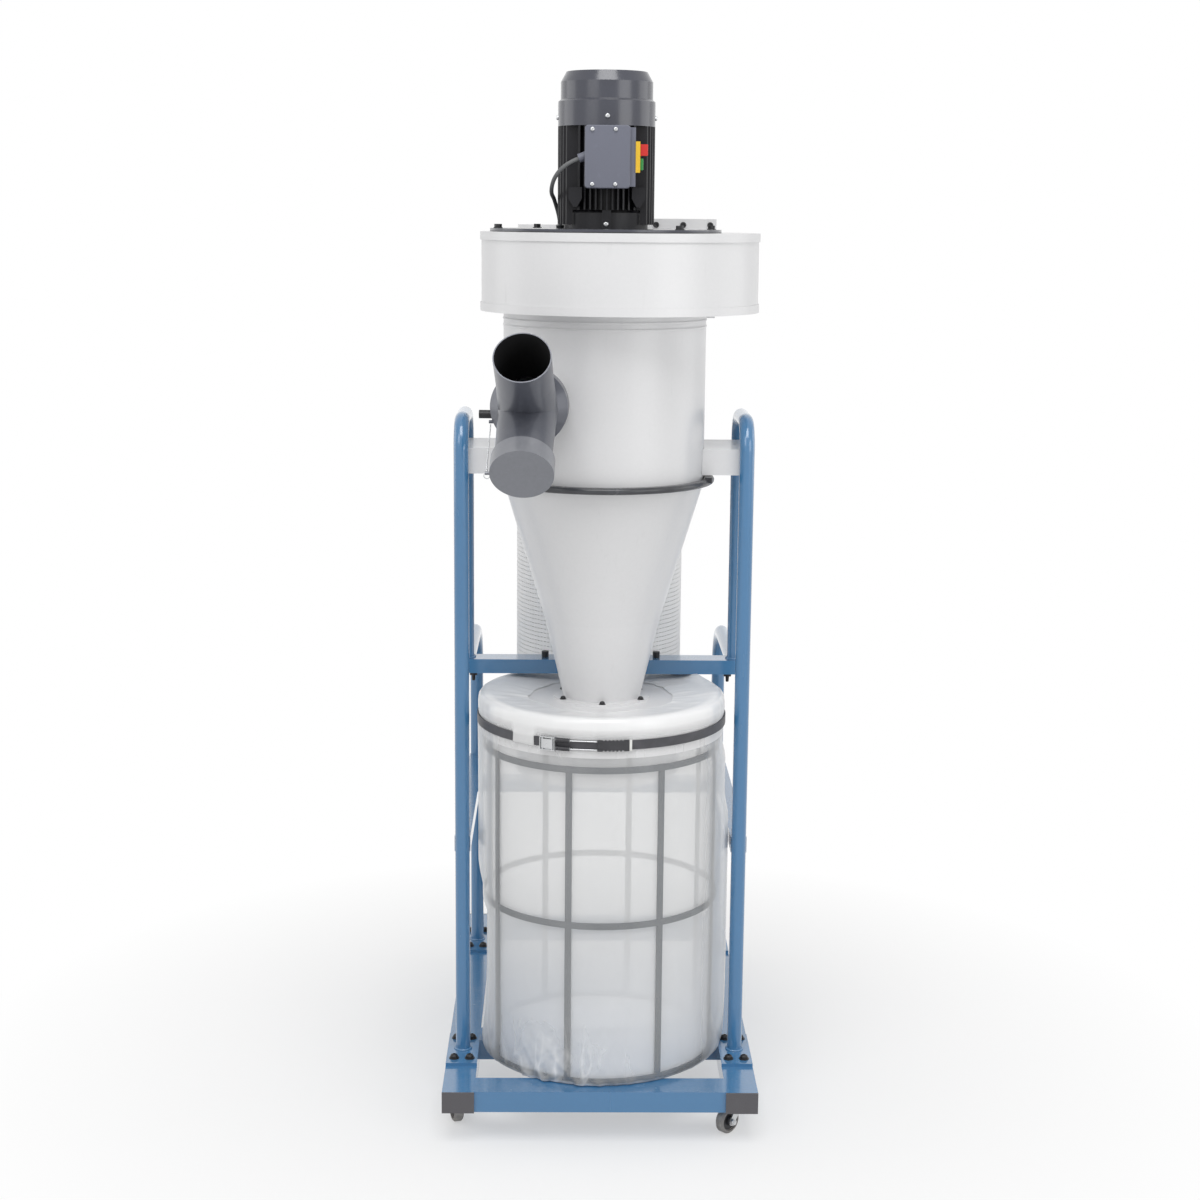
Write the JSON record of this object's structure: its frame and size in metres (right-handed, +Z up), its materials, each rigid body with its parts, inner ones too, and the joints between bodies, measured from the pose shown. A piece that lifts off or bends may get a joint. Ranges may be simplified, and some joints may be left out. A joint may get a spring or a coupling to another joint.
{
  "type": "mobile cyclone dust separator",
  "caption": "Mobile two-stage cyclone dust separator: fan and motor over a tangential cyclone, filter behind, clear dust bag below, on a wheeled tube frame.",
  "frame": {"origin": "on the floor under the middle of the machine's bounding box", "axes": "+Z up, -Y towards the inlet and the front of the machine, +X to the right seen from the front"},
  "size_m": [0.589, 1.1538, 1.965],
  "materials": {
    "blue_paint": "satin powder coat",
    "white_paint": "satin powder coat",
    "motor_black": "semi-gloss enamel",
    "box_plastic": "satin moulded plastic",
    "grey_plastic": "glossy moulded plastic",
    "black_rubber": "matt",
    "lead_sheath": "matt",
    "black_fittings": "satin black",
    "cage_steel": "grey coated",
    "clear_film": "clear polythene film",
    "strap_webbing": "woven",
    "bright_steel": "zinc plated",
    "caster_rubber": "matt grey",
    "filter_media": "pleated felt",
    "yellow_plastic": "moulded",
    "red_plastic": "moulded",
    "green_plastic": "moulded"
  },
  "bodies": {
    "frame": {"left_base_rail": "blue_paint", "right_base_rail": "blue_paint", "front_base_member": "blue_paint", "middle_base_member": "blue_paint", "rear_base_member": "blue_paint", "left_front_post": "blue_paint", "right_front_post": "blue_paint", "left_rear_post": "blue_paint", "right_rear_post": "blue_paint", "upper_crossmember": "blue_paint", "left_side_rail": "blue_paint", "right_side_rail": "blue_paint", "filter_crossmember": "blue_paint", "cyclone_barrel": "white_paint", "inlet_pipe": "white_paint", "left_support_arm": "white_paint", "right_support_arm": "white_paint", "cyclone_cone": "white_paint", "bin_lid": "white_paint", "housing_top_pan": "white_paint", "housing_wrapper": "white_paint", "housing_bottom_pan": "white_paint", "outlet_neck": "white_paint", "filter_head": "white_paint", "filter_pan": "white_paint", "motor_plate": "white_paint", "motor_end_bell": "motor_black", "motor_body": "motor_black", "motor_fan_cowl": "motor_black", "switch_box": "box_plastic", "switch_box_cover": "box_plastic", "inlet_wye": "grey_plastic", "port_cap": "grey_plastic", "rail_end_caps": "grey_plastic", "clamp_ring": "black_rubber", "plate_gasket": "black_rubber", "lead_grommet": "black_rubber", "motor_lead": "lead_sheath", "collar_knob": "black_fittings", "lid_hangers": "black_fittings", "bag_cage": "cage_steel", "dust_bag": "clear_film", "bag_strap": "strap_webbing", "strap_buckle": "bright_steel", "cap_chain": "bright_steel", "caster_plates": "bright_steel", "filter_canister": "filter_media", "switch_bezel": "yellow_plastic"},
    "left_front_swivel": {"left_front_caster_fork": "bright_steel"},
    "left_front_wheel": {"left_front_caster_wheel": "caster_rubber"},
    "right_front_swivel": {"right_front_caster_fork": "bright_steel"},
    "right_front_wheel": {"right_front_caster_wheel": "caster_rubber"},
    "left_rear_swivel": {"left_rear_caster_fork": "bright_steel"},
    "left_rear_wheel": {"left_rear_caster_wheel": "caster_rubber"},
    "right_rear_swivel": {"right_rear_caster_fork": "bright_steel"},
    "right_rear_wheel": {"right_rear_caster_wheel": "caster_rubber"},
    "stop_button": {"stop_button": "red_plastic"},
    "start_button": {"start_button": "green_plastic"}
  },
  "joints": [
    {"name": "left_front_swivel_turn", "type": "hinge", "parent": "frame", "child": "left_front_swivel", "pos_m": [-0.2645, -0.33914, 0.0585], "axis": [0, 0, 1], "continuous": true},
    {"name": "left_front_wheel_spin", "type": "hinge", "parent": "left_front_swivel", "child": "left_front_wheel", "pos_m": [-0.27327, -0.31045, 0.025], "axis": [0.9563, 0.2924, 0], "continuous": true},
    {"name": "right_front_swivel_turn", "type": "hinge", "parent": "frame", "child": "right_front_swivel", "pos_m": [0.2645, -0.33914, 0.0585], "axis": [0, 0, 1], "continuous": true},
    {"name": "right_front_wheel_spin", "type": "hinge", "parent": "right_front_swivel", "child": "right_front_wheel", "pos_m": [0.24256, -0.3596, 0.025], "axis": [-0.682, 0.7314, 0], "continuous": true},
    {"name": "left_rear_swivel_turn", "type": "hinge", "parent": "frame", "child": "left_rear_swivel", "pos_m": [-0.2645, 0.49286, 0.0585], "axis": [0, 0, 1], "continuous": true},
    {"name": "left_rear_wheel_spin", "type": "hinge", "parent": "left_rear_swivel", "child": "left_rear_wheel", "pos_m": [-0.27074, 0.52221, 0.025], "axis": [0.9781, 0.2079, 0], "continuous": true},
    {"name": "right_rear_swivel_turn", "type": "hinge", "parent": "frame", "child": "right_rear_swivel", "pos_m": [0.2645, 0.49286, 0.0585], "axis": [0, 0, 1], "continuous": true},
    {"name": "right_rear_wheel_spin", "type": "hinge", "parent": "right_rear_swivel", "child": "right_rear_wheel", "pos_m": [0.26919, 0.52249, 0.025], "axis": [0.9877, -0.1564, 0], "continuous": true},
    {"name": "stop_button_press", "type": "slide", "parent": "frame", "child": "stop_button", "axis": [-1, 0, 0], "range_m": [0, 0.003], "stiffness_N_per_m": 400},
    {"name": "start_button_press", "type": "slide", "parent": "frame", "child": "start_button", "axis": [-1, 0, 0], "range_m": [0, 0.003], "stiffness_N_per_m": 400}
  ]
}
